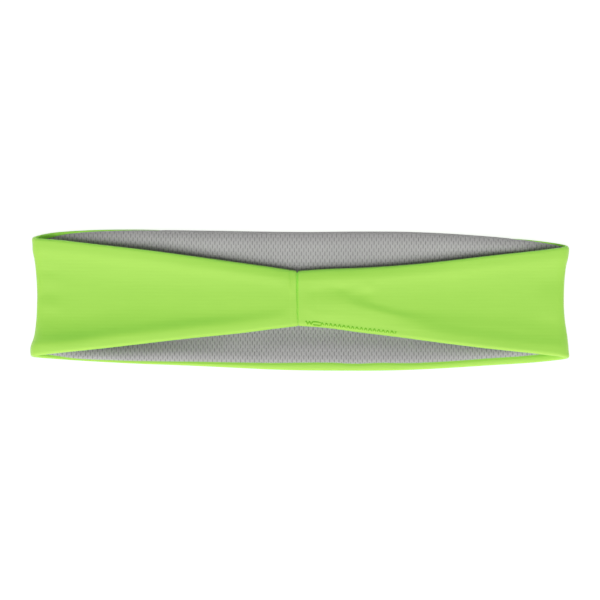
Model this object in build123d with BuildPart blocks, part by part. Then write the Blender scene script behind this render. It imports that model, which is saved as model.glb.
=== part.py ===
"""Sweat headband: a two-layer knit loop, wide at the forehead and narrow at the back seam, laid flat.

The loop lies with its front panel on the table and its back panel on top. A closed lime outer strip is
turned over a mesh lining along both edges, and the threads that hold them together are separate pieces.
The origin is the middle of the footprint on the table. X runs from fold to fold, Y across the band, Z up.
"""

from build123d import *
import os

os.makedirs("parts", exist_ok=True)

# Driving dimensions, in millimetres.
half_length = 120.0  # from the middle of the loop to the corners of a fold
loop_height = 9.0  # the whole flattened loop, from the table to the top face
waist_depth = 2.8  # how far the middle of a fold pulls in from its corners
fold_half_height = 26.6  # half the height of a fold, corner to corner
corner_x = 117.5  # where both panels' edges meet, just inside the folds
outline_reach = 126.0  # where the cutting outlines end, beyond the folds

outer_cloth = 0.6  # thickness of the outer strip
lining_cloth = 0.4  # thickness of the mesh lining
thread_room = 0.45  # room between the two cloths, where the seams lie
cloth_gap = 0.15  # room between the lining and the turned-over edge
wide_lip = 3.0  # how much of the outer strip turns over the front panel's lower edge
narrow_lip = 1.0  # the same along every other edge
lining_edge = 0.9  # from the band's edge to the lining's cut edge

thread_width = 0.3
thread_thickness = 0.25
thread_clearance = 0.1  # between a seam thread and the cloths it lies between
needle_line = 1.2  # from the band's edge to a needle thread
looper_line = 4.2  # from the band's edge to a looper thread
edge_seam_start = 2.0  # where the edge seams begin, right of the back seam
edge_seam_stop = -9.0  # and where they end, left of it
closure_stop = 43.0  # the far end of the topstitched turning gap

back_seam_x = -0.5
back_seam_top = 13.2
back_seam_bottom = -11.7
back_seam_ring = 2.0  # between the outer strip's seam line and the lining's
back_seam_overlock = 4.0  # from a needle line to its looper line

ring_inset = 1.8  # from the band's edges to the ends of the back seam's rings of thread

stitch_pitch = 1.9
stitch_swing = 0.55  # half the width of the zigzag
stitch_inset = 1.9  # from the back panel's lower edge to the middle of the zigzag
stitch_start = 2.5
tack_pitch = 0.8  # the closer stitches that fasten the start
tack_length = 4.0
stitch_lift = 0.02  # between a topstitch thread and the cloth it lies on

# Edges of the two panels in plan, from the left fold to the right. The panels share the folds' corners.
left_top = (-corner_x, 27.5)
right_top = (corner_x, 23.7)
left_bottom = (-corner_x, -25.2)
right_bottom = (corner_x, -25.8)
front_top = [left_top, (-107, 30.1), (-84, 30.8), (-20, 30.8), (46, 30.7), (80, 28.8), (107, 26.1), right_top]
front_bottom = [left_bottom, (-89, -26.9), (-45, -29.2), (16, -30.99), (45, -30.6), (81, -28.7), right_bottom]
seam_top = (back_seam_x, back_seam_top)
seam_bottom = (back_seam_x, back_seam_bottom)
back_top = [left_top, (-89, 24.7), (-45, 19.3), seam_top, (45, 16.1), (89, 20.7), right_top]
back_bottom = [left_bottom, (-89, -21.6), (-45, -16.3), seam_bottom, (45, -16.7), (89, -22.2), right_bottom]

wall = 2 * outer_cloth + thread_room + lining_cloth + cloth_gap
lining_depth = outer_cloth + thread_room
thread_depth = outer_cloth + thread_clearance
middle_height = loop_height / 2

# A fold is a half round swept about an upright axis that stands outside the loop.
waist_radius = (fold_half_height**2 + waist_depth**2) / (2 * waist_depth)
waist_axis_x = half_length - waist_depth + waist_radius
fold_path_radius = waist_radius + middle_height
fold_sweep = 32.0  # degrees, past both edges of the band
panel_width = 80.0  # wider than the band, before it is cut to its outlines
block_margin = 1.0  # how far the cutting blocks reach below and above the loop


def loop_space(inset):
    """The space inside the loop's outer face, moved in by inset. It runs past both edges of the band."""
    end_radius = middle_height - inset
    with BuildPart() as space:
        with BuildSketch(Plane.XY.offset(inset)):
            Rectangle(2 * half_length, panel_width)
            with Locations((waist_axis_x, 0), (-waist_axis_x, 0)):
                Circle(fold_path_radius, mode=Mode.SUBTRACT)
        extrude(amount=2 * end_radius)
        for side in (1, -1):
            towards_loop = Vector(-side, 0, 0).rotate(Axis.Z, -fold_sweep / 2)
            upright = Plane((side * waist_axis_x, 0, 0), towards_loop, towards_loop.cross(Vector(0, 0, 1)))
            with BuildSketch(upright):
                with BuildLine():
                    fold = CenterArc((fold_path_radius, middle_height), end_radius, 90, 180)
                    Line(fold @ 1, fold @ 0)
                make_face()
            revolve(axis=Axis((side * waist_axis_x, 0, 0), (0, 0, 1)), revolution_arc=fold_sweep)
    return space.part


def panel_block(top_edge, bottom_edge, top_inset, bottom_inset, floor_z, height):
    """An upright block with a panel's outline in plan, its long edges moved in by the two insets."""
    top = [(x, y - top_inset) for x, y in top_edge]
    bottom = [(x, y + bottom_inset) for x, y in bottom_edge]
    with BuildPart() as block:
        with BuildSketch(Plane.XY.offset(floor_z)):
            with BuildLine():
                Spline(*top)
                Polyline(
                    top[-1],
                    (outline_reach, top[-1][1]),
                    (outline_reach, bottom[-1][1]),
                    bottom[-1],
                )
                Spline(*bottom[::-1])
                Polyline(
                    bottom[0],
                    (-outline_reach, bottom[0][1]),
                    (-outline_reach, top[0][1]),
                    top[0],
                )
            make_face()
        extrude(amount=height)
    return block.part


def band_block(top_inset, bottom_inset, front_bottom_inset):
    """The front panel's outline below mid height and the back panel's above it, as one block."""
    height = middle_height + block_margin
    front = panel_block(front_top, front_bottom, top_inset, front_bottom_inset, -block_margin, height)
    back = panel_block(back_top, back_bottom, top_inset, bottom_inset, middle_height, height)
    with BuildPart() as block:
        add(front)
        add(back)
    return block.part


def edge_thread(line, at_top):
    """A thread between the cloths along one edge of the band, broken where the back seam crosses it."""
    far = line + thread_width
    if at_top:
        along = band_block(line, looper_line, looper_line)
        inside = band_block(far, looper_line, looper_line)
        break_end = edge_seam_start
    else:
        along = band_block(looper_line, line, line)
        inside = band_block(looper_line, far, far)
        break_end = closure_stop + edge_seam_start
    outside = loop_space(thread_depth)
    core = loop_space(thread_depth + thread_thickness)
    with BuildPart() as thread:
        add(outside)
        add(along, mode=Mode.INTERSECT)
        add(inside, mode=Mode.SUBTRACT)
        add(core, mode=Mode.SUBTRACT)
        with BuildSketch(Plane.XY.offset(middle_height)):
            with Locations(((edge_seam_stop + break_end) / 2, 0)):
                Rectangle(break_end - edge_seam_stop, panel_width)
        extrude(amount=middle_height, mode=Mode.SUBTRACT)
    return thread.part


def back_seam_thread(line_x):
    """A flat ring of thread: up the outer strip's seam line, across, and down the lining's."""
    height = back_seam_top - back_seam_bottom - 2 * ring_inset
    with BuildPart() as thread:
        with BuildSketch(Plane.XY.offset(loop_height - thread_depth - thread_thickness)):
            with Locations((line_x - back_seam_ring / 2, (back_seam_top + back_seam_bottom) / 2)):
                Rectangle(back_seam_ring + thread_width, height)
                Rectangle(back_seam_ring - thread_width, height - 2 * thread_width, mode=Mode.SUBTRACT)
        extrude(amount=thread_thickness)
    return thread.part


def closure_points():
    """Corners of the zigzag along the back panel's lower edge, closer together where it is fastened."""
    edge = Spline(*back_bottom)
    points = []
    along = stitch_start
    swing = stitch_swing
    while along < closure_stop:
        share = (along + corner_x) / (2 * corner_x)
        direction = edge % share
        inwards = Vector(-direction.Y, direction.X, 0)
        points.append(edge @ share + inwards * (stitch_inset + swing))
        pitch = tack_pitch if along < stitch_start + tack_length else stitch_pitch
        along += pitch / 2
        swing = -swing
    return points


def closure_thread(floor_z):
    """One thread of the zigzag that closes the turning gap."""
    corners = closure_points()
    with BuildPart() as thread:
        with BuildSketch(Plane.XY.offset(floor_z)):
            with BuildLine():
                Polyline(*corners)
            trace(line_width=thread_width)
        extrude(amount=thread_thickness)
    return thread.part


outer_face = loop_space(0)
outer_back = loop_space(outer_cloth)
lip_front = loop_space(wall - outer_cloth)
inner_face = loop_space(wall)
lining_front = loop_space(lining_depth)
lining_back = loop_space(lining_depth + lining_cloth)

band_outline = band_block(0, 0, 0)
inside_turned_edge = band_block(outer_cloth, outer_cloth, outer_cloth)
inside_lips = band_block(narrow_lip, narrow_lip, wide_lip)
lining_outline = band_block(lining_edge, lining_edge, lining_edge)

with BuildPart() as lining_pocket:
    add(outer_back)
    add(inside_turned_edge, mode=Mode.INTERSECT)
    add(lip_front, mode=Mode.SUBTRACT)

with BuildPart() as lining_window:
    add(lip_front)
    add(inside_lips, mode=Mode.INTERSECT)

with BuildPart() as outer_shell:
    add(outer_face)
    add(band_outline, mode=Mode.INTERSECT)
    add(inner_face, mode=Mode.SUBTRACT)
    add(lining_pocket.part, mode=Mode.SUBTRACT)
    add(lining_window.part, mode=Mode.SUBTRACT)

with BuildPart() as mesh_lining:
    add(lining_front)
    add(lining_outline, mode=Mode.INTERSECT)
    add(lining_back, mode=Mode.SUBTRACT)

upper_needle_run = edge_thread(needle_line, at_top=True)
with BuildPart() as upper_edge_needle_thread:
    add(upper_needle_run)

upper_looper_run = edge_thread(looper_line, at_top=True)
with BuildPart() as upper_edge_looper_thread:
    add(upper_looper_run)

lower_needle_run = edge_thread(needle_line, at_top=False)
with BuildPart() as lower_edge_needle_thread:
    add(lower_needle_run)

lower_looper_run = edge_thread(looper_line, at_top=False)
with BuildPart() as lower_edge_looper_thread:
    add(lower_looper_run)

back_needle_ring = back_seam_thread(back_seam_x)
with BuildPart() as back_seam_needle_thread:
    add(back_needle_ring)

back_looper_ring = back_seam_thread(back_seam_x - back_seam_overlock)
with BuildPart() as back_seam_looper_thread:
    add(back_looper_ring)

outer_zigzag = closure_thread(loop_height + stitch_lift)
with BuildPart() as closure_needle_thread:
    add(outer_zigzag)

lining_face = loop_height - lining_depth - lining_cloth
inner_zigzag = closure_thread(lining_face - stitch_lift - thread_thickness)
with BuildPart() as closure_bobbin_thread:
    add(inner_zigzag)

pieces = {
    "outer_shell": outer_shell,
    "mesh_lining": mesh_lining,
    "upper_edge_needle_thread": upper_edge_needle_thread,
    "upper_edge_looper_thread": upper_edge_looper_thread,
    "lower_edge_needle_thread": lower_edge_needle_thread,
    "lower_edge_looper_thread": lower_edge_looper_thread,
    "back_seam_needle_thread": back_seam_needle_thread,
    "back_seam_looper_thread": back_seam_looper_thread,
    "closure_needle_thread": closure_needle_thread,
    "closure_bobbin_thread": closure_bobbin_thread,
}
for name, piece in pieces.items():
    piece.part.label = name
    export_step(piece.part, f"parts/{name}.step")
    print(name, piece.part.bounding_box(), round(piece.part.volume, 1))
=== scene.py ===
"""The look of a sweat headband laid flat.

A lime knit shell is turned over an eyelet-mesh lining, and threads hold the two together.
"""

import math

import bmesh
import bpy
import numpy as np
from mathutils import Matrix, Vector


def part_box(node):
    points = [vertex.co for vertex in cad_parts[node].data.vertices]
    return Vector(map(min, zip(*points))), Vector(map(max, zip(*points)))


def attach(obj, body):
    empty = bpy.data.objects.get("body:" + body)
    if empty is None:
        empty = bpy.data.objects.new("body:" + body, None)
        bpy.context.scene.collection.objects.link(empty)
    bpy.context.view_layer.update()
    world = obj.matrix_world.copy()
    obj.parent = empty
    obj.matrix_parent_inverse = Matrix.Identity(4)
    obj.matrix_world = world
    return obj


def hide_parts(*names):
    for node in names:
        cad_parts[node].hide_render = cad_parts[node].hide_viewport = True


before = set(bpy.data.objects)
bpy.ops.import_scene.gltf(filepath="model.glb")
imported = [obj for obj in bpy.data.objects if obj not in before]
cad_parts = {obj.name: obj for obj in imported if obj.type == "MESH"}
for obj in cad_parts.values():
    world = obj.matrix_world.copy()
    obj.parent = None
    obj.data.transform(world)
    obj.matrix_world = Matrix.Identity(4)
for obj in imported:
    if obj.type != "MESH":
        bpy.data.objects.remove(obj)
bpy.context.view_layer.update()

MM = 0.001  # lengths are in millimetres unless a comment says metres, and meshes are made in metres
shell_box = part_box("outer_shell")
shell_low = np.array(shell_box[0]) / MM
shell_high = np.array(shell_box[1]) / MM

# ---------------------------------------------------------------- the loop, seen from the side
loop_height = shell_high[2] - shell_low[2]
fold_radius = loop_height / 2
fold_x = min(shell_high[0], -shell_low[0]) - fold_radius
seam_x = -0.9  # where the back seam lies

back_run = fold_x - seam_x
fold_run = math.pi * fold_radius
front_start = back_run + fold_run
front_end = front_start + 2 * fold_x
left_start = front_end + fold_run
loop_length = left_start + fold_x + seam_x
right_fold = back_run + fold_run / 2
left_fold = front_end + fold_run / 2
loop_knots = [0, back_run, front_start, front_end, left_start, loop_length]


def on_back_right(x):
    """How far round the loop the place x lies, on the back panel right of the seam."""
    return x - seam_x


def on_front(x):
    """The same on the front panel."""
    return front_start + fold_x - x


def on_back_left(x):
    """The same on the back panel left of the seam."""
    return left_start + fold_x + x


def smooth_through(knots, places):
    """A smooth curve through the points in knots, read off at places."""
    at, values = np.array(knots, float).T
    slopes = np.gradient(values, at)
    i = np.clip(np.searchsorted(at, places) - 1, 0, len(at) - 2)
    span = at[i + 1] - at[i]
    f = np.clip((places - at[i]) / span, 0, 1)
    g = 1 - f
    start = (1 + 2 * f) * g * g * values[i] + f * g * g * span * slopes[i]
    return start + (1 + 2 * g) * f * f * values[i + 1] - g * f * f * span * slopes[i + 1]


def columns_through(rows, places):
    """The same for every column of rows that follows the first one."""
    columns = range(1, len(rows[0]))
    return [smooth_through([(row[0], row[n]) for row in rows], places) for n in columns]


def ramp(value, start, end):
    """0 before start and 1 after end, with a smooth rise between."""
    f = np.clip((value - start) / (end - start), 0, 1)
    return f * f * (3 - 2 * f)


def bump(value, centre, width):
    """1 at the centre, fading to nothing within about two widths of it."""
    return np.exp(-(((value - centre) / width) ** 2))


# The band's two long edges: how far across the band each one lies, going round the loop from the back seam.
# Each list is x and the place across, on one panel.
upper_back_right = [(seam_x, 12.9), (10, 13.7), (27, 14.3), (45, 15.4), (89, 20.1), (107, 22.1)]
upper_front = [(107, 26.5), (80, 28.9), (46, 30.6), (31, 30.7), (0, 30.5), (-40, 31.1), (-76, 31.7),
               (-100, 31.0), (-110, 30.2)]
upper_back_left = [(-107, 26.6), (-89, 24.6), (-62, 21.4), (-45, 19.1), (-9, 14.1)]
lower_back_right = [(seam_x, -11.7), (10, -12.4), (27, -14.6), (45, -16.8), (63, -19.2), (81, -21.4),
                    (107, -24.3)]
lower_front = [(107, -27.9), (81, -29.7), (63, -30.8), (45, -31.6), (16, -31.8), (-9, -31.4),
               (-27, -30.6), (-45, -29.7), (-80, -28.3), (-107, -26.7)]
lower_back_left = [(-107, -23.7), (-89, -21.8), (-45, -16.8), (-27, -15.0), (-9, -12.7)]


def once_round(back_right, at_right_fold, front, at_left_fold, back_left):
    """An edge once round the loop, with its places across at the two folds."""
    edge = [(on_back_right(x), y) for x, y in back_right]
    edge += [(right_fold, at_right_fold)]
    edge += [(on_front(x), y) for x, y in front]
    edge += [(left_fold, at_left_fold)]
    edge += [(on_back_left(x), y) for x, y in back_left]
    return edge + [(loop_length, back_right[0][1])]


upper_right_corner = 24.2  # the edges' places across at the folds
upper_left_corner = 28.0
lower_right_corner = -26.2
lower_left_corner = -25.5
upper_edge = once_round(upper_back_right, upper_right_corner, upper_front, upper_left_corner, upper_back_left)
lower_edge = once_round(lower_back_right, lower_right_corner, lower_front, lower_left_corner, lower_back_left)

# How far in from each edge the seam between shell and lining lies. Below 0 it is on the outer face.
lower_lip = [
    (0, 1.0), (right_fold - 50, 1.0), (right_fold - 15, 1.4), (right_fold, 3.2),
    (on_front(95), 3.3), (on_front(48), 3.2), (on_front(36), 3.6), (on_front(25), 3.3),
    (on_front(14), 3.7), (on_front(0), 3.5), (on_front(-14), 3.0), (on_front(-45), 2.0),
    (on_front(-85), 1.0), (on_front(-100), 0.8), (on_front(-110), 1.6), (left_fold, 1.8),
    (on_back_left(-105), 1.0), (on_back_left(-80), 1.0), (loop_length, 1.0),
]
upper_lip = [
    (0, 0.9), (right_fold - 50, 0.9), (right_fold - 12, 0.9), (right_fold, 1.1),
    (on_front(108), 0.45), (on_front(88), -0.2), (on_front(30), -0.5), (on_front(-40), -0.4),
    (on_front(-62), 0.0), (on_front(-85), 0.5), (on_front(-103), 1.2), (on_front(-112), 2.2),
    (left_fold, 2.2), (on_back_left(-105), 0.9), (on_back_left(-80), 0.9), (loop_length, 0.9),
]
# How far each fold pulls in from its corners, against how far across the band.
left_pull = [(-27, -1.2), (-25, -0.5), (-22, -0.45), (-20, -0.1), (-18, 0.45), (-15, 1.0), (-9.5, 1.55),
             (-3, 1.9), (5, 1.9), (13, 1.4), (17, 1.0), (20, 0.5), (27, 0.1), (29, -0.4)]
right_pull = [(-28, -1.5), (-25, -0.85), (-22, -0.5), (-17, -0.4), (-14, 0.0), (-10, 0.6), (-4, 1.1),
              (3, 1.1), (8, 0.9), (14, 0.35), (18, -0.25), (21.5, -0.7), (25, -0.6), (27, -0.1)]
fold_reach = 30  # how far from a fold its pull is felt

# ---------------------------------------------------------------- how the panels lie
# A crease runs along the back panel: x, how far above the lower edge it is steepest, how far it reaches up
# and down from there, and its slope.
creases = [
    (-119, 9.0, 10, 3.2, 0.42), (-107, 6.8, 10, 4.6, 0.44), (-80, 8.4, 9, 4.8, 0.24),
    (-62, 8.2, 9, 4.8, 0.16), (-45, 7.3, 6, 4.4, 0.12), (-27, 7.0, 5, 4.2, 0.045), (-9, 8.0, 4, 4, 0.04),
    (9, 13.6, 5, 4, 0.07), (18, 14.8, 4, 3, 0.18), (27, 13.3, 2.8, 2.8, 0.30), (36, 11.9, 2.4, 2.6, 0.35),
    (45, 10.7, 2.4, 2.6, 0.35), (54, 10.3, 3.4, 3.2, 0.27), (63, 10.4, 5, 4, 0.18), (81, 11.0, 5, 4, 0.16),
    (99, 11.5, 6, 4.5, 0.13), (119, 9.5, 6, 4.5, 0.13),
]
# Below the crease the cloth still slopes, towards the edge near the stitch and the other way further right.
lower_slopes = [
    (-119, 6, 5, 5, 0), (-5, 6, 6, 5, -0.06), (9, 5.3, 6.8, 4.2, -0.27), (27, 6.5, 5, 5.6, -0.32),
    (45, 6.8, 3.4, 6, -0.22), (63, 5, 4.5, 4.5, 0.08), (81, 4.4, 5, 4, 0.17), (99, 4.4, 5, 4, 0.17),
    (119, 5, 5, 5, 0.08),
]
# The back panel is hollow from rim to rim: x and the slope at the rims.
sag_slope = [(-119, 0.16), (-60, 0.16), (-20, 0.10), (30, 0.09), (60, 0.14), (119, 0.15)]
hollow_margin = 4.5  # from the panel's edges to the hollow's rims
# How far below the top of the loop the hollow's rims lie: x and the depth.
back_sink = [(-119, 2.3), (-60, 2.9), (0, 2.65), (30, 2.6), (60, 2.9), (119, 2.3)]
# How far each edge of the back panel droops: x and the drop. The lower edge's reach also changes with x.
upper_droop = [(-119, 0.0), (-70, 0.1), (-30, 0.8), (0, 1.3), (40, 1.0), (75, 0.2), (119, 0.0)]
lower_droop = [(-119, 0.6), (-40, 0.5), (0, 0.3), (50, 0.25), (80, 0.22), (119, 0.2)]
lower_droop_reach = [(-119, 5.5), (-40, 5.5), (0, 2.6), (40, 2.0), (119, 2.0)]
# How much the panel swells towards its upper edge, and how far down from there: x, rise, reach.
upper_swell = [(-119, 1.6, 17), (-60, 1.7, 17), (-20, 0.65, 13), (20, 0.4, 12), (50, 0.9, 15),
               (80, 1.15, 15), (119, 0.9, 14)]
swell_start = -3  # below 0, so that the swelling is already falling at the edge
# Small dents and swellings near the folds and the back seam: x, y, size along, size across, height.
dents = [
    (-114, 3.0, 5, 2.0, -0.3), (-113, -2.8, 5, 2.6, 0.35), (-113, 13.0, 4, 1.8, -0.2),
    (-113, 9.0, 4, 2, 0.15), (113, 8.5, 6, 3.6, -0.3), (113, -1.5, 6, 4.4, 0.35), (7, 3.5, 3.2, 1.6, -0.15),
    (19, 4.8, 4.0, 2.0, -0.28), (29, 2.4, 4.0, 1.9, -0.42), (31, 6.4, 3.0, 1.5, 0.26),
    (113, -6.5, 5, 2.5, 0.22), (-3.7, 6.5, 1.0, 3.0, 0.5),
]
# The front panel's upper part lifts off the table, down to between lift_full and lift_gone from its edge.
front_upper_lift = [(-119, 1.4), (0, 1.4), (50, 1.4), (80, 1.9), (119, 2.1)]
lift_full = 3
lift_gone = 18
lift_narrowing = 4  # how much less lift_gone is towards the folds
narrowing_start = 10  # from the middle of the band
flat_start = 95  # from here to the folds the front panel comes down to the table, and narrowing is full
# The front panel's lower part lifts off too: x, how far, and between which distances from the edge.
front_lower_lifts = [
    (-119, 2.6, 1.5, 9), (-107, 2.8, 1.5, 9.5), (-89, 3.6, 1.9, 11), (-62, 4.1, 3.8, 14.5),
    (-44, 3.7, 4.8, 17), (-25, 2.8, 5.5, 19.5), (-5, 3.0, 7.5, 20.5), (9, 3.1, 8, 20.5),
    (45, 2.9, 7.2, 18), (63, 2.6, 6.8, 15.5), (81, 2.4, 5.5, 13.5), (119, 2.2, 4, 12),
]
front_upper_droop = [(-119, 1.0), (-85, 1.25), (-50, 1.25), (-25, 1.05), (0, 0.95), (60, 0.9),
                     (80, 1.05), (119, 1.05)]
front_upper_reach = 4.5
front_lower_droop = 0.55
droop_reach = 5.5

# ---------------------------------------------------------------- the band, cut across
edge_half = 1.1  # half the thickness of the band along its edges
edge_roll = 1.5  # how far in from an edge its rounding reaches
shell_cloth = 0.55
lining_cloth = 0.45
allowance = 5.0  # the thicker strip along each edge, where the seam allowances lie inside
allowance_end = 9.0  # and where the band has come down to its full thinness
valley_depth = 0.45  # how far both cloths dip where they are sewn together
valley_width = 0.7  # of the bump that stands for the dip, as are the other widths here
thinning = 0.3  # how much nearer the band's middle each face lies away from the allowances
thin_start = 4  # from the back seam, whose own allowances keep the band thick
thin_full = 9
back_groove = 0.6  # how far the cloth dips along the back seam
groove_width = 0.36
groove_base = 0.25  # the groove's share of back_groove at the lower edge
groove_gains = [(0.5, -11, -6), (0.55, 0, 9)]  # what it gains going up, and between which places across
ridge_lift = 0.28  # of the allowances, which lie left of the back seam
ridge_rise = (0.2, 0.7)  # the distances from the seam between which the ridge rises
ridge_fall = (2.4, 3.6)  # and falls again
ridge_base = 0.6  # the ridge's share of ridge_lift near the lower edge
ridge_grows = (-6, 8)  # the places across between which it grows to all of it
step_place = 2.9  # how far left of the seam the cloth steps down off the allowances
step_width = 0.55
step_depth = 0.65
step_grows = (4, 8)  # the places across between which the step grows from nothing
# The back seam isn't quite straight: places across, how far along it is bent there, and its reach.
seam_bend_across = [-11.6, -9.5, -6, 5, 13]
seam_bend_along = [0.5, 0.3, 0.1, -0.15, -0.1]
seam_bend_reach = 8

roll_samples = 200
roll_angles = np.linspace(0, math.pi / 2, roll_samples)
roll_inwards = edge_roll * (1 - np.cos(roll_angles))
roll_outwards = edge_half * np.sin(roll_angles)
roll_steps = np.hypot(np.diff(roll_inwards), np.diff(roll_outwards))
roll_lengths = np.concatenate([[0], np.cumsum(roll_steps)])
roll_length = roll_lengths[-1]


def edge_arc(inwards):
    """How far round the outline from an edge a place lies, for its distance inwards seen from above."""
    inwards = np.asarray(inwards, float)
    distance = np.abs(inwards)
    angle = np.arccos(np.clip(1 - distance / edge_roll, -1, 1))
    on_roll = np.interp(angle, roll_angles, roll_lengths)
    arc = np.where(distance < edge_roll, on_roll, roll_length + distance - edge_roll)
    return np.sign(inwards) * arc


def lower_seam(s):
    """How far round the outline from the lower edge the seam between the two cloths lies."""
    return edge_arc(smooth_through(lower_lip, s))


def upper_seam(s):
    """The same from the upper edge."""
    return edge_arc(smooth_through(upper_lip, s))


def half_way_round(s):
    """The length of the band's outline from one edge to the other, over one face."""
    width = smooth_through(upper_edge, s) - smooth_through(lower_edge, s)
    return width - 2 * edge_roll + 2 * roll_length


def loop_turn(s):
    """How far the loop has turned: 0 on the back panel, pi on the front one."""
    return np.interp(s, loop_knots, [0, 0, math.pi, math.pi, 2 * math.pi, 2 * math.pi])


def droop(from_edge, reach=droop_reach):
    """1 at an edge, falling to 0 where the cloth stops drooping towards it."""
    return np.clip(1 - from_edge / reach, 0, 1) ** 2


def soft_step(above, steepest, up, down):
    """0 high above a step and 1 below it. The slope grows evenly to its steepest place and fades again."""
    share = np.clip((steepest + up - above) / (up + down), 0, 1)
    peak = up / (up + down)
    return np.where(share < peak, share**2 / peak, 1 - (1 - share) ** 2 / (1 - peak))


def back_height(x, y, low, high):
    """How high the back panel lies, against the top of the loop."""
    upper = high - y
    lower = y - low
    reach = (high - low) / 2 - hollow_margin
    across = np.clip((y - (high + low) / 2) / reach, -1, 1)
    height = smooth_through(sag_slope, x) / 2 * reach * (across**2 - 1) - smooth_through(back_sink, x)
    rise, swell_reach = columns_through(upper_swell, x)
    height = height + rise * (1 - ramp(upper, swell_start, swell_reach))
    height = height - smooth_through(upper_droop, x) * droop(upper)
    height = height - smooth_through(lower_droop, x) * droop(lower, smooth_through(lower_droop_reach, x))
    for rows in (creases, lower_slopes):
        steepest, up, down, slope = columns_through(rows, x)
        height = height + slope * (up + down) / 2 * soft_step(lower, steepest, up, down)
    for at_x, at_y, along, across_size, rise in dents:
        height = height + rise * bump(x, at_x, along) * bump(y, at_y, across_size)
    return height


def front_height(x, y, low, high):
    """How high the front panel lies above the table."""
    upper = high - y
    lower = y - low
    narrowing = ramp(np.abs(x), narrowing_start, flat_start)
    gone = lift_gone - lift_narrowing * narrowing
    height = smooth_through(front_upper_lift, x) * (1 - ramp(upper, lift_full, gone))
    height = height - smooth_through(front_upper_droop, x) * droop(upper, front_upper_reach)
    lift, lift_start, lift_end = columns_through(front_lower_lifts, x)
    height = height + lift * (1 - ramp(lower, lift_start, lift_end))
    height = height - front_lower_droop * droop(lower)
    return np.maximum(height, 0) * (1 - ramp(np.abs(x), flat_start, fold_x))


def groove_share(y):
    """How deep the back seam's groove is at a place across, as a share of back_groove."""
    share = groove_base
    for gain, start, stop in groove_gains:
        share = share + gain * ramp(y, start, stop)
    return share


def place(s, t, lift=0.0):
    """Places on the band's surface, in millimetres.

    s runs round the loop from the back seam. t runs round the band's outline, from the lower edge over the
    lining's face to the upper edge and back over the outer face. lift is outwards from the band's middle.
    """
    s, t, lift = np.broadcast_arrays(np.asarray(s, float), np.asarray(t, float), np.asarray(lift, float))
    low = smooth_through(lower_edge, s)
    high = smooth_through(upper_edge, s)
    half = high - low - 2 * edge_roll + 2 * roll_length
    t = np.mod(t, 2 * half)
    inner = t <= half
    along = np.where(inner, t, 2 * half - t)
    face = np.where(inner, 1.0, -1.0)
    from_edge = np.minimum(along, half - along)
    near_upper = along > half / 2
    angle = np.interp(from_edge, roll_lengths, roll_angles)
    on_roll = edge_roll * (1 - np.cos(angle))
    inwards = np.where(from_edge < roll_length, on_roll, edge_roll + from_edge - roll_length)
    y = np.where(near_upper, high - inwards, low + inwards)
    depth = edge_half * (1 + face * np.sin(angle))

    normal_y = np.where(near_upper, 1, -1) * np.cos(angle) / edge_roll
    normal_depth = face * np.sin(angle) / edge_half
    size = np.hypot(normal_y, normal_depth)
    normal_y = normal_y / size
    normal_depth = normal_depth / size

    turn = loop_turn(s)
    front = (1 - np.cos(turn)) / 2
    seam_gap = np.minimum(s, loop_length - s)
    thin = ramp(inwards, allowance, allowance_end) * ramp(seam_gap, thin_start, thin_full)
    depth = depth - np.where(inner, thinning, -thinning) * thin

    lower_gap = np.where(inner, along, -along) - lower_seam(s)
    upper_gap = np.where(inner, half - along, along - half) - upper_seam(s)
    valley = bump(lower_gap, 0, valley_width) + bump(upper_gap, 0, valley_width)
    groove = bump(seam_gap, 0, groove_width) * groove_share(y)
    lift = lift - valley_depth * valley - back_groove * groove

    left_of_seam = loop_length - s
    ridge = ramp(left_of_seam, *ridge_rise) * (1 - ramp(left_of_seam, *ridge_fall))
    ridge = ridge * (ridge_base + (1 - ridge_base) * ramp(y, *ridge_grows))
    step = bump(left_of_seam, step_place, step_width) * ramp(y, *step_grows)
    reach = fold_radius - depth - normal_depth * lift + ridge_lift * ridge - step_depth * step * (1 - front)
    centre_x = np.interp(s, loop_knots, [seam_x, fold_x, fold_x, -fold_x, -fold_x, seam_x])
    back = back_height(centre_x, y, low, high)
    height = back * (1 - front) + front_height(centre_x, y, low, high) * front
    x = centre_x + reach * np.sin(turn)
    z = fold_radius + reach * np.cos(turn) + height
    y = y + normal_y * lift

    right = ramp(centre_x, fold_x - fold_reach, fold_x)
    left = ramp(-centre_x, fold_x - fold_reach, fold_x)
    x = x - right * smooth_through(right_pull, y) + left * smooth_through(left_pull, y)
    seam_bend = np.interp(y, seam_bend_across, seam_bend_along)
    x = x + seam_bend * bump(seam_gap, 0, seam_bend_reach) * (1 - front)
    return np.stack([x, y, z], axis=-1)


# ---------------------------------------------------------------- making meshes
def make_object(name, points, faces, materials, kinds=None, uv=None):
    """A piece from points in millimetres.

    kinds says which of the materials each face has. Faces of the first are shaded smooth and others flat.
    """
    if kinds is None:
        kinds = [0] * len(faces)
    mesh = bpy.data.meshes.new(name)
    mesh.from_pydata((np.asarray(points) * MM).tolist(), [], faces)
    for material in materials:
        mesh.materials.append(material)
    mesh.polygons.foreach_set("material_index", kinds)
    mesh.polygons.foreach_set("use_smooth", [kind == 0 for kind in kinds])
    if uv is not None:
        layer = mesh.uv_layers.new(name="cloth")
        corners = np.zeros(len(mesh.loops), int)
        mesh.loops.foreach_get("vertex_index", corners)
        layer.data.foreach_set("uv", (np.asarray(uv)[corners] * MM).ravel())
    shape = bmesh.new()
    shape.from_mesh(mesh)
    bmesh.ops.recalc_face_normals(shape, faces=shape.faces)
    shape.to_mesh(mesh)
    shape.free()
    piece = bpy.data.objects.new(name, mesh)
    bpy.context.scene.collection.objects.link(piece)
    return piece


def spaced(count, crowd_start=0.0, crowd_end=0.0):
    """Shares of 0 to 1, closer together at a crowded end."""
    f = np.linspace(0, 1, count)
    return f + crowd_start * (f * f - f) * (1 - f) + crowd_end * (f - f * f) * f


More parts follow.
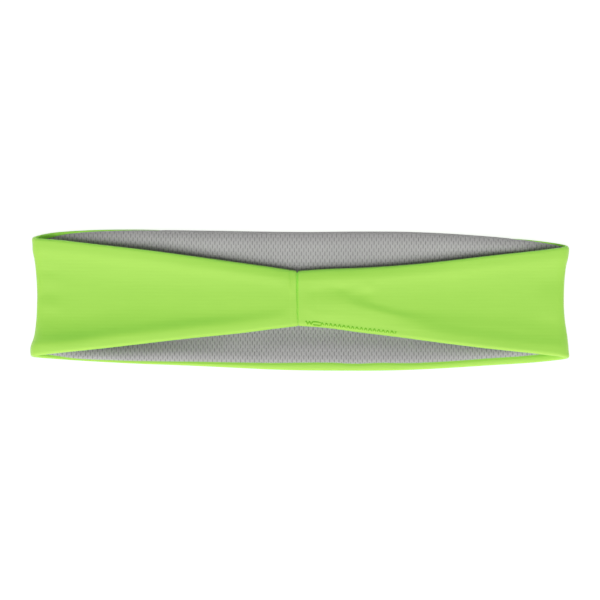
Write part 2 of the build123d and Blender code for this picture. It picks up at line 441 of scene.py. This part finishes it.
# ---------------------------------------------------------------- the zigzag that closes the turning gap
closure_start = 2.6  # right of the middle
closure_stop = 43.6
closure_inset = [(closure_start, 1.7), (12, 1.4), (26, 1.55), (closure_stop, 1.7)]  # from the lower edge
closure_swing = 0.75
closure_pitch = 1.95
# The first stitches go to and fro to fasten the thread: x and the side, as a share of the swing.
fastening = [(2.6, 0.9), (3.3, -0.9), (4.2, 0.9), (4.9, -0.9), (5.7, 0.9), (9.2, 0.9), (5.9, -0.9),
             (9.4, -0.9)]
crossing = 5  # the stretch of the fastening that passes below the cloth
swings_start = 10.0


def closure_holes():
    """The needle's holes, as x and how far above the lower edge."""
    swings = list(fastening)
    x = swings_start
    side = 1
    while x < closure_stop:
        swings.append((x, side))
        x += closure_pitch / 2
        side = -side
    places, sides = np.array(swings).T
    return np.stack([places, smooth_through(closure_inset, places) + closure_swing * sides], axis=-1)


holes = closure_holes()

# ---------------------------------------------------------------- the shell
# Columns of its mesh beside the back seam, as distances from it. The first keeps the shell's two ends apart.
seam_columns = [0.02, 0.1, 0.2, 0.32, 0.46, 0.62, 0.8, 1.05, 1.4, 1.9, 2.6, 3.2]
step_columns = [3.6, 4, 4.4, 4.9, 5.5]  # where the cloth steps down off the allowances
zigzag_column_pitch = 0.4
shell_column_pitch = 1.2
# Rows of its mesh over the upper edge, the outer face and the lower edge, and how much they crowd together.
upper_rows = 14
upper_crowd = 0.8
face_rows = 42
face_crowd = 0.75
lower_rows = 19
lower_crowd = 0.8
hole_dent_radius = 0.32
hole_dent_depth = 0.12


def shell_stations():
    """Columns round the loop: close together at the back seam, where the cloth dips, and at the zigzag."""
    zigzag = np.arange(step_columns[0], on_back_right(closure_stop) + 1, zigzag_column_pitch)
    middle_start = zigzag[-1] + 2 * zigzag_column_pitch
    middle = np.arange(middle_start, loop_length - (step_columns[-1] + 1), shell_column_pitch)
    left_of_seam = np.array(seam_columns + step_columns)[::-1]
    return np.concatenate([seam_columns, zigzag, middle, loop_length - left_of_seam])


def needle_dents(s, t, half):
    """How far the outer face is drawn in round each of the holes of the fastening."""
    sink = np.zeros_like(t)
    above_edge = 2 * half - t
    for x, inset in holes[:len(fastening)]:
        away = (s - on_back_right(x)) ** 2 + (above_edge - edge_arc(inset)) ** 2
        sink += np.exp(-away / hole_dent_radius**2)
    return -hole_dent_depth * np.clip(sink, 0, 1)


def shell_ends(s):
    """Where the shell starts and stops, round the band's outline."""
    half = half_way_round(s)
    return half - upper_seam(s), 2 * half + lower_seam(s)


def shell_grid(s, half):
    """Each column's places round the outline: over the upper edge, the outer face and the lower edge."""
    upper_start, lower_stop = shell_ends(s)
    upper_length = half + roll_length - upper_start
    face_length = half - 2 * roll_length
    lower_length = lower_stop - 2 * half + roll_length
    upper_shares = spaced(upper_rows, crowd_start=upper_crowd)
    face_shares = spaced(face_rows, crowd_end=face_crowd)[1:-1]
    lower_shares = spaced(lower_rows, crowd_end=lower_crowd)
    upper = upper_start[:, None] + upper_length[:, None] * upper_shares
    face = (half + roll_length)[:, None] + face_length[:, None] * face_shares
    lower = (2 * half - roll_length)[:, None] + lower_length[:, None] * lower_shares
    return np.concatenate([upper, face, lower], axis=1)


def make_shell(material):
    """The shell: one sheet of cloth with two faces, closed along its edges and at its ends."""
    s = shell_stations()
    half = half_way_round(s)
    t = shell_grid(s, half)
    columns, rows = t.shape
    sink = needle_dents(s[:, None], t, half[:, None])
    outside = place(s[:, None], t, sink).reshape(-1, 3)
    inside = place(s[:, None], t, sink - shell_cloth).reshape(-1, 3)
    count = columns * rows
    points = np.concatenate([outside, inside])
    grain = t - 2 * half[:, None] - smooth_through(lower_edge, s)[:, None]
    uv = np.stack(np.broadcast_arrays(s[:, None], grain), axis=-1).reshape(-1, 2)
    faces = []
    for c in range(columns - 1):
        for r in range(rows - 1):
            a = c * rows + r
            b = a + rows
            faces.append((a, b, b + 1, a + 1))
            faces.append((count + a, count + a + 1, count + b + 1, count + b))
    for c in range(columns - 1):
        for a, b in ((c * rows, (c + 1) * rows), ((c + 2) * rows - 1, (c + 1) * rows - 1)):
            faces.append((a, count + a, count + b, b))
    last = (columns - 1) * rows
    for r in range(rows - 1):
        faces.append((r, r + 1, count + r + 1, count + r))
        faces.append((last + r + 1, last + r, count + last + r, count + last + r + 1))
    return make_object("lime_shell", points, faces, [material], uv=np.concatenate([uv, uv]))


# ---------------------------------------------------------------- the lining
column_pitch = 1.047  # between neighbouring columns of eyelets
eyelet_pitch = 3.19  # along a column
eyelet_half_width = 0.17
eyelet_half_height = 1.10
eyelet_shoulder = 0.72
eyelet_depth = 0.2
eyelet_floor = 0.72  # half the length of the groove at the bottom of an eyelet
rib_lift = 0.05  # the ribs between the columns stand this proud
rim_drop = -0.03
plain_band = 1.7  # the eyelets stop this far from the upper edge, where the cloth turns over
least_plain = 0.1
ends_gap = 0.5  # at least this much is left between the lining's two ends
back_rows = 9
plain_rows = 12
same_digits = 4  # corners that agree to this many digits are one corner
touching = 2e-4  # a corner this near a bound lies on it
on_border_line = 1e-4  # and the same for a border between two columns


def eyelet_brick(left, right, middle):
    """The faces of one eyelet and the cloth round it, as corners of s, place across, and lift."""
    centre = (left + right) / 2
    step = eyelet_pitch / 2

    def rim(along, across):
        return (centre + along, middle + across, rim_drop)

    top = rim(0, eyelet_half_height)
    base = rim(0, -eyelet_half_height)
    upper_left = rim(-eyelet_half_width, eyelet_shoulder)
    lower_left = rim(-eyelet_half_width, -eyelet_shoulder)
    upper_right = rim(eyelet_half_width, eyelet_shoulder)
    lower_right = rim(eyelet_half_width, -eyelet_shoulder)
    deep_top = (centre, middle + eyelet_floor, -eyelet_depth)
    deep_base = (centre, middle - eyelet_floor, -eyelet_depth)
    left_top, left_middle, left_base = ((left, middle + k * step, rib_lift) for k in (1, 0, -1))
    right_top, right_middle, right_base = ((right, middle + k * step, rib_lift) for k in (1, 0, -1))
    ring = [
        (left_top, left_middle, upper_left, top), (left_middle, lower_left, upper_left),
        (left_middle, left_base, base, lower_left), (left_base, right_base, base),
        (right_base, right_middle, lower_right, base), (right_middle, upper_right, lower_right),
        (right_middle, right_top, top, upper_right), (right_top, left_top, top),
    ]
    # The hollow's faces take the second material, whose darker grey is painted shade in the pit.
    hollow = [
        (upper_left, lower_left, deep_base, deep_top), (lower_right, upper_right, deep_top, deep_base),
        (top, upper_left, deep_top), (upper_right, top, deep_top),
        (lower_left, base, deep_base), (base, lower_right, deep_base),
    ]
    return [(corners, 0) for corners in ring] + [(corners, 1) for corners in hollow]


def clip(polygon, bound, side):
    """The part of a polygon on one side of the line g = bound(s)."""
    kept = []
    gaps = [side * (g - bound(s)) for s, g, lift in polygon]
    for i, point in enumerate(polygon):
        j = i - 1
        if gaps[i] * gaps[j] < 0:
            f = gaps[j] / (gaps[j] - gaps[i])
            before = polygon[j]
            kept.append(tuple(before[n] + (point[n] - before[n]) * f for n in range(3)))
        if gaps[i] >= 0:
            kept.append(point)
    return kept


def make_lining(knit, eyelet):
    """The lining: a face with eyelets, a plain strip along its upper seam, a plain back, and closed edges.

    A place across is called g here. On the flat of the lining's face it is y, so that the eyelets stay in
    straight rows.
    """
    columns = int((loop_length - ends_gap) / column_pitch)
    start = (loop_length - columns * column_pitch) / 2
    borders = start + np.arange(columns + 1) * column_pitch
    shift = smooth_through(lower_edge, borders) + edge_roll - roll_length
    edge = half_way_round(borders) + shift
    seams = (lower_seam(borders) + shift, edge - upper_seam(borders))
    bounds = (seams[0], np.minimum(edge - plain_band, seams[1] - least_plain))
    step = eyelet_pitch / 2
    index = {}
    corners_of = []
    faces = []
    kinds = []

    def vertex(corner):
        """The number of a corner, which is a new one if no corner is there yet."""
        key = (round(corner[0], same_digits), round(corner[1], same_digits))
        if key not in index:
            index[key] = len(corners_of)
            corners_of.append(corner)
        return index[key]

    def bound_line(bound, k):
        """A bound between the borders k and k + 1, as a straight line of s."""
        rise = bound[k + 1] - bound[k]
        return lambda s: bound[k] + rise * (s - borders[k]) / column_pitch

    def rows_of(starts, stops, count, lift):
        """A row of corners on each border between two columns."""
        rows = []
        for s, start_g, stop_g in zip(borders, starts, stops):
            first = len(corners_of)
            corners_of.extend((s, g, lift) for g in np.linspace(start_g, stop_g, count))
            rows.append(range(first, first + count))
        return rows

    on_border = [{} for k in range(columns + 1)]
    chains = []
    for k in range(columns):
        chain = [{}, {}]
        lines = [bound_line(bound, k) for bound in bounds]
        low = bounds[0][k:k + 2]
        high = bounds[1][k:k + 2]
        m = int(math.floor(low.min() / step)) - 1
        if (m + k) % 2:  # the eyelets of neighbouring columns lie half a pitch apart
            m -= 1
        while (m - 1) * step < high.max():
            cut = (m - 1) * step < low.max() or (m + 1) * step > high.min()
            for polygon, kind in eyelet_brick(borders[k], borders[k + 1], m * step):
                if cut:
                    polygon = clip(polygon, lines[0], 1)
                    polygon = clip(polygon, lines[1], -1) if len(polygon) > 2 else polygon
                corner_ids = [vertex(corner) for corner in polygon]
                corner_ids = [i for n, i in enumerate(corner_ids) if i != corner_ids[n - 1]]
                if len(corner_ids) < 3:
                    continue
                faces.append(tuple(corner_ids))
                kinds.append(kind)
                for i in corner_ids:
                    s, g, lift = corners_of[i]
                    for n in (0, 1):
                        if cut and abs(g - lines[n](s)) < touching:
                            chain[n][i] = s
                    for border in (k, k + 1):
                        if abs(s - borders[border]) < on_border_line:
                            on_border[border][i] = g
            m += 2
        chains.append([sorted(ends, key=ends.get) for ends in chain])

    back = rows_of(*seams, back_rows, -lining_cloth)
    plain_start = bounds[1] + (seams[1] - bounds[1]) / plain_rows
    plain = rows_of(plain_start, seams[1], plain_rows, 0.0)
    for k in range(columns):
        for strip in (back, plain):
            for r in range(len(strip[k]) - 1):
                faces.append((strip[k][r], strip[k][r + 1], strip[k + 1][r + 1], strip[k + 1][r]))
        lower, upper = chains[k]
        faces.append((*lower, back[k + 1][0], back[k][0]))
        faces.append((*upper[::-1], plain[k][0], plain[k + 1][0]))
        faces.append((plain[k + 1][-1], plain[k][-1], back[k][-1], back[k + 1][-1]))
    for k in (0, columns):
        faces.append((*sorted(on_border[k], key=on_border[k].get), *plain[k], *back[k][::-1]))
    kinds.extend([0] * (len(faces) - len(kinds)))
    s, g, lift = np.array(corners_of, float).T
    t = g - smooth_through(lower_edge, s) - edge_roll + roll_length
    uv = np.stack([s - start, g], axis=-1)
    return make_object("mesh_lining_cloth", place(s, t, lift), faces, [knit, eyelet], kinds, uv)


# ---------------------------------------------------------------- the threads
nearly_up = (0.0, 0.1, 1.0)  # a tube's first ring is turned by it
closure_thread_radius = 0.26
closure_thread_sides = 8
swing_steps = 8
stitch_bow = 0.2  # how far a stitch stands off the cloth between its holes
fastening_sink = 0.2  # how far the thread dives into the cloth at its lower holes, in the fastening
hole_sink = 0.75  # and in the zigzag
crossing_depth = 1.0
seam_thread_radius = 0.11
seam_thread_sides = 6
seam_pitch = 2.6  # along a hidden overlock seam
wave_points = 10  # to each of its waves
seam_depth = 1.15  # from the cloth's face to the hidden threads
needle_wave = 0.1  # how far up and down the hidden threads go
looper_wave = 0.08
overlock_width = 3.4  # from the seam line to the cut edge
least_lip = 0.8  # of the hidden seams from the edge
gap_margin = 2  # from the closing zigzag to the lower edge seam
break_start = 9.0  # the edge seams stop this far left of the back seam
break_stop = 2.6  # and the upper one starts again this far right of it
back_needle_place = 0.5  # left of the back seam
back_looper_place = 4.5
back_run_gap = 2  # between the back thread's way up and its way down
back_inset = 2.2  # from the band's edges to the back thread's ends
back_step = 0.25
back_sway = 0.45
back_wave = 0.06
back_sink_down = 0.1  # how much deeper the way down lies


def make_tube(name, path, radius, sides, material):
    """A closed tube along a path in millimetres."""
    path = np.asarray(path, float)
    ahead = np.gradient(path, axis=0)
    ahead /= np.linalg.norm(ahead, axis=1)[:, None]
    across = np.zeros_like(path)
    previous = np.cross(ahead[0], nearly_up)
    for i, heading in enumerate(ahead):
        previous = previous - heading * np.dot(previous, heading)
        previous /= np.linalg.norm(previous)
        across[i] = previous
    up = np.cross(ahead, across)
    angles = np.arange(sides) * 2 * math.pi / sides
    ring = across[:, None] * np.cos(angles)[None, :, None] + up[:, None] * np.sin(angles)[None, :, None]
    points = (path[:, None] + ring * radius).reshape(-1, 3)
    faces = []
    for i in range(len(path) - 1):
        for j in range(sides):
            a = i * sides + j
            b = i * sides + (j + 1) % sides
            faces.append((a, b, b + sides, a + sides))
    faces.append(tuple(range(sides))[::-1])
    faces.append(tuple(range((len(path) - 1) * sides, len(path) * sides)))
    return make_object(name, points, faces, [material])


def zigzag_thread(name, material, outer):
    """One of the two threads of the closing zigzag, on the outer face or on the lining."""
    places = []
    for i, ((x0, inset0), (x1, inset1)) in enumerate(zip(holes[:-1], holes[1:])):
        sink = fastening_sink if i < len(fastening) else hole_sink
        for f in np.linspace(0, 1, swing_steps + 1)[:-1]:
            towards_edge = f if i % 2 == 0 else 1 - f
            rise = stitch_bow * math.sin(math.pi * f) - sink * towards_edge**2
            if i == crossing:
                rise = -crossing_depth * math.sin(math.pi * f)
            places.append((x0 + (x1 - x0) * f, inset0 + (inset1 - inset0) * f, rise))
    x, inset, rise = np.array(places).T
    s = on_back_right(x)
    arc = edge_arc(inset)
    t = 2 * half_way_round(s) - arc if outer else arc
    return make_tube(name, place(s, t, rise), closure_thread_radius, closure_thread_sides, material)


def edge_seam_thread(name, material, at_top, looper):
    """A thread of the overlock seam along one edge, from right of the back seam round to its left."""
    start = break_stop if at_top else on_back_right(closure_stop) + gap_margin
    s = np.arange(start, loop_length - break_start, seam_pitch / wave_points)
    wave = 2 * math.pi * s / seam_pitch
    lip = np.maximum((upper_seam if at_top else lower_seam)(s), least_lip)
    arc = lip + overlock_width / 2 * (1 + np.sin(wave)) if looper else lip
    lift = -seam_depth + (looper_wave * np.cos(2 * wave) if looper else needle_wave * np.cos(wave))
    t = half_way_round(s) - arc if at_top else arc
    return make_tube(name, place(s, t, lift), seam_thread_radius, seam_thread_sides, material)


def back_seam_thread(name, material, from_seam, looper):
    """A thread of the back seam: up the outer cloth's seam line, across, and down again beside it."""
    half = half_way_round(0.0)
    arc = np.arange(edge_arc(back_inset), half - edge_arc(back_inset), back_step)
    wave = 2 * math.pi * arc / seam_pitch
    sway = back_sway * np.sin(wave) if looper else 0 * arc
    lift = -seam_depth + back_wave * np.cos(wave)
    left_of = loop_length - from_seam
    up = np.stack([left_of + sway, 2 * half - arc, lift], axis=-1)
    down = np.stack([left_of - back_run_gap + sway, 2 * half - arc, lift - back_sink_down], axis=-1)[::-1]
    route = np.concatenate([up, down])
    return make_tube(name, place(*route.T), seam_thread_radius, seam_thread_sides, material)


# ---------------------------------------------------------------- materials
wale_pitch = 0.62 * MM  # between the knit's columns of loops
course_pitch = 0.5 * MM  # and between its rows
loop_slant = 2.5  # how far the loops lean within a column, in radians of the rows' wave
yarn_pitch = 0.26 * MM  # of the lining
ply_scale = 900.0  # of the threads' plies
knit_relief = 0.08 * MM
lining_relief = 0.05 * MM
thread_relief = 0.03 * MM
floor_relief = 0.01 * MM
floor_glow = 1.25


class Shader:
    """A Principled material and short ways to add nodes to it."""

    def __init__(self, name, roughness, specular):
        self.material = bpy.data.materials.new(name)
        self.material.use_nodes = True
        self.nodes = self.material.node_tree.nodes
        self.links = self.material.node_tree.links
        self.surface = self.nodes["Principled BSDF"]
        self.surface.inputs["Roughness"].default_value = roughness
        self.surface.inputs["Specular IOR Level"].default_value = specular

    def add(self, kind, inputs=(), **settings):
        """A new node. An input is another node's socket or a plain value."""
        node = self.nodes.new(kind)
        for key, value in settings.items():
            setattr(node, key, value)
        for key, value in dict(inputs).items():
            if isinstance(value, bpy.types.NodeSocket):
                self.links.new(value, node.inputs[key])
            else:
                node.inputs[key].default_value = value
        return node

    def math(self, operation, a, b=0.0):
        """a and b put together by a Math node."""
        return self.add("ShaderNodeMath", {0: a, 1: b}, operation=operation).outputs[0]

    def weighted(self, a, share_a, b, share_b):
        """a and b added together, each times its share."""
        return self.math("ADD", self.math("MULTIPLY", a, share_a), self.math("MULTIPLY", b, share_b))

    def wave(self, operation, angle):
        """A sine or cosine brought between 0 and 1."""
        return self.math("MULTIPLY", self.math("ADD", self.math(operation, angle), 1.0), 0.5)

    def mix(self, factor, a, b):
        """A colour between a and b."""
        return self.add("ShaderNodeMix", {0: factor, 6: a, 7: b}, data_type="RGBA").outputs[2]

    def cloth_axes(self):
        """Where a point lies on the flat cloth, then how far round the loop it is and how far across."""
        uv = self.add("ShaderNodeUVMap", uv_map="cloth").outputs[0]
        split = self.add("ShaderNodeSeparateXYZ", {0: uv})
        return uv, split.outputs[0], split.outputs[1]

    def stretched_noise(self, uv, scale, detail=2.0):
        """Noise with its own scale along each axis, per metre."""
        mapped = self.add("ShaderNodeMapping", {"Vector": uv, "Scale": scale}).outputs[0]
        return self.add("ShaderNodeTexNoise", {"Vector": mapped, "Scale": 1.0, "Detail": detail}).outputs[0]

    def finish(self, color, height, distance, strength):
        """The material, with its colour and its fine relief."""
        bump_node = self.add("ShaderNodeBump", {"Height": height, "Distance": distance, "Strength": strength})
        self.links.new(bump_node.outputs[0], self.surface.inputs["Normal"])
        self.links.new(color, self.surface.inputs["Base Color"])
        return self.material


def knit_material():
    """The shell's jersey: slanted loops in ribs, soft streaks along the knit and a little sheen."""
    dark = (0.355, 0.86, 0.082, 1)
    light = (0.412, 0.97, 0.1, 1)
    shader = Shader("lime_jersey", roughness=0.62, specular=0.3)
    shader.surface.inputs["Sheen Weight"].default_value = 0.4
    shader.surface.inputs["Sheen Roughness"].default_value = 0.45
    shader.surface.inputs["Sheen Tint"].default_value = (0.8, 1.0, 0.6, 1)
    uv, u, v = shader.cloth_axes()
    wale = shader.math("MULTIPLY", v, 2 * math.pi / wale_pitch)
    slant = shader.math("ABSOLUTE", shader.math("SINE", shader.math("MULTIPLY", wale, 0.5)))
    course = shader.weighted(u, 2 * math.pi / course_pitch, slant, loop_slant)
    height = shader.weighted(shader.wave("SINE", course), 0.5, shader.wave("COSINE", wale), 0.5)
    streaks = shader.stretched_noise(uv, scale=(60, 1600, 1))
    blotch = shader.stretched_noise(uv, scale=(40, 60, 1), detail=3)
    color = shader.mix(shader.weighted(streaks, 0.6, blotch, 0.4), dark, light)
    return shader.finish(color, height, knit_relief, strength=0.5)


def lining_material(name, dark, light, roughness):
    """The lining's yarn, with a little fuzz."""
    shader = Shader(name, roughness, specular=0.25)
    uv, u = shader.cloth_axes()[:2]
    yarn = shader.math("SINE", shader.math("MULTIPLY", u, 2 * math.pi / yarn_pitch))
    fuzz = shader.stretched_noise(uv, scale=(2500, 1500, 1), detail=3)
    blotch = shader.stretched_noise(uv, scale=(70, 70, 1))
    height = shader.math("ADD", shader.math("MULTIPLY", yarn, 0.3), fuzz)
    color = shader.mix(shader.weighted(fuzz, 0.6, blotch, 0.4), dark, light)
    return shader.finish(color, height, lining_relief, strength=0.4)


def thread_material():
    """The threads' twisted plies, in greens darker than the shell's although the thread is the shell's own
    green: painted shade round the stitches.
    """
    # Both greens are darker than the shell's: painted shade of the stitches.
    dark = (0.17, 0.5, 0.025, 1)
    light = (0.29, 0.67, 0.045, 1)
    shader = Shader("lime_thread_painted_shade", roughness=0.65, specular=0.15)
    point = shader.add("ShaderNodeTexCoord").outputs["Object"]
    ply = shader.add("ShaderNodeTexWave", {"Vector": point, "Scale": ply_scale, "Distortion": 1.0}).outputs[1]
    return shader.finish(shader.mix(ply, dark, light), ply, thread_relief, strength=0.6)


def floor_material():
    """A white sweep that glows a little, so that it stays white round the band."""
    dark = (0.3, 0.3, 0.3, 1)
    light = (0.32, 0.32, 0.32, 1)
    shader = Shader("white_sweep", roughness=0.9, specular=0.0)
    point = shader.add("ShaderNodeTexCoord").outputs["Object"]
    grain = shader.stretched_noise(point, scale=(30, 30, 30))
    shader.surface.inputs["Emission Color"].default_value = (1, 1, 1, 1)
    shader.surface.inputs["Emission Strength"].default_value = floor_glow
    return shader.finish(shader.mix(grain, dark, light), grain, floor_relief, strength=0.1)


# ---------------------------------------------------------------- the pieces
lime = knit_material()
knit_dark = (0.35, 0.348, 0.342, 1)
knit_light = (0.468, 0.465, 0.458, 1)
# The eyelets' hollows are the same yarn as the cloth round them, but take a darker grey: painted shade of the
# recesses.
eyelet_shade_dark = (0.255, 0.255, 0.25, 1)
eyelet_shade_light = (0.315, 0.315, 0.31, 1)
grey = lining_material("grey_mesh_knit", knit_dark, knit_light, roughness=0.75)
eyelet_shade_grey = lining_material("eyelet_painted_shade", eyelet_shade_dark, eyelet_shade_light, roughness=0.85)
thread = thread_material()

shell = make_shell(lime)
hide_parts("outer_shell")
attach(shell, "root")

lining = make_lining(grey, eyelet_shade_grey)
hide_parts("mesh_lining")
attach(lining, "root")

threads = {
    "closure_needle_thread": zigzag_thread("closure_zigzag", thread, True),
    "closure_bobbin_thread": zigzag_thread("closure_zigzag_inside", thread, False),
    "upper_edge_needle_thread": edge_seam_thread("upper_seam_needle", thread, True, False),
    "upper_edge_looper_thread": edge_seam_thread("upper_seam_loopers", thread, True, True),
    "lower_edge_needle_thread": edge_seam_thread("lower_seam_needle", thread, False, False),
    "lower_edge_looper_thread": edge_seam_thread("lower_seam_loopers", thread, False, True),
    "back_seam_needle_thread": back_seam_thread("back_seam_needle", thread, back_needle_place, False),
    "back_seam_looper_thread": back_seam_thread("back_seam_loopers", thread, back_looper_place, True),
}
for node, piece in threads.items():
    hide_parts(node)
    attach(piece, "root")

# ---------------------------------------------------------------- floor, light and camera
floor_size = 12  # in metres, as are all of the floor's and the light's places and sizes
floor_drop = 0.0002  # below the band
key_place = (-0.12, -0.98, 1.4)
key_size = 1.6
key_power = 33.5  # watts

bpy.ops.mesh.primitive_plane_add(size=floor_size, location=(0, 0, -floor_drop))
floor = bpy.context.object
floor.name = "floor"
floor.data.materials.append(floor_material())

light = bpy.data.lights.new("key", "AREA")
light.shape = "DISK"
light.size = key_size
light.energy = key_power
lamp = bpy.data.objects.new("key", light)
lamp.location = key_place
lamp.rotation_euler = (-Vector(key_place)).to_track_quat("-Z", "Y").to_euler()
bpy.context.scene.collection.objects.link(lamp)

scene = bpy.context.scene
# The studio's far walls are white up to low_wall, and the rest is dimmer from high_wall on.
low_wall = 0.1  # the Z of a direction that is one long
high_wall = 0.13
wall_light = 1.3
ceiling_light = 0.21
scene.world = bpy.data.worlds.new("studio")
scene.world.use_nodes = True
wall_nodes = scene.world.node_tree.nodes
wall_links = scene.world.node_tree.links
background = wall_nodes["Background"]
background.inputs["Color"].default_value = (1, 1, 1, 1)
view_direction = wall_nodes.new("ShaderNodeTexCoord")
upwards = wall_nodes.new("ShaderNodeSeparateXYZ")
wall = wall_nodes.new("ShaderNodeMapRange")
wall.inputs["From Min"].default_value = low_wall
wall.inputs["From Max"].default_value = high_wall
wall.inputs["To Min"].default_value = wall_light
wall.inputs["To Max"].default_value = ceiling_light
wall_links.new(view_direction.outputs["Generated"], upwards.inputs[0])
wall_links.new(upwards.outputs["Z"], wall.inputs["Value"])
wall_links.new(wall.outputs["Result"], background.inputs["Strength"])

# A soft shoulder, as a camera has: what is brighter than shoulder_start is drawn in towards white_level.
shoulder_start = 0.55
white_level = 1.4
scene.view_settings.view_transform = "Standard"
scene.view_settings.use_curve_mapping = True
response = scene.view_settings.curve_mapping
response.white_level = (white_level, white_level, white_level)
shoulder = response.curves[3].points.new(shoulder_start / white_level, shoulder_start)
shoulder.handle_type = "VECTOR"
response.update()

# The camera looks straight down on the band.
camera_lens = 120
camera_sensor = 36
view_width = 268.2  # how wide a strip the camera sees, at the height view_level
view_level = 4
camera_place = (0.2, -0.1, view_width * camera_lens / camera_sensor + view_level)
camera_data = bpy.data.cameras.new("camera")
camera_data.lens = camera_lens
camera_data.sensor_width = camera_sensor
camera = bpy.data.objects.new("camera", camera_data)
camera.location = [value * MM for value in camera_place]
scene.collection.objects.link(camera)
scene.camera = camera
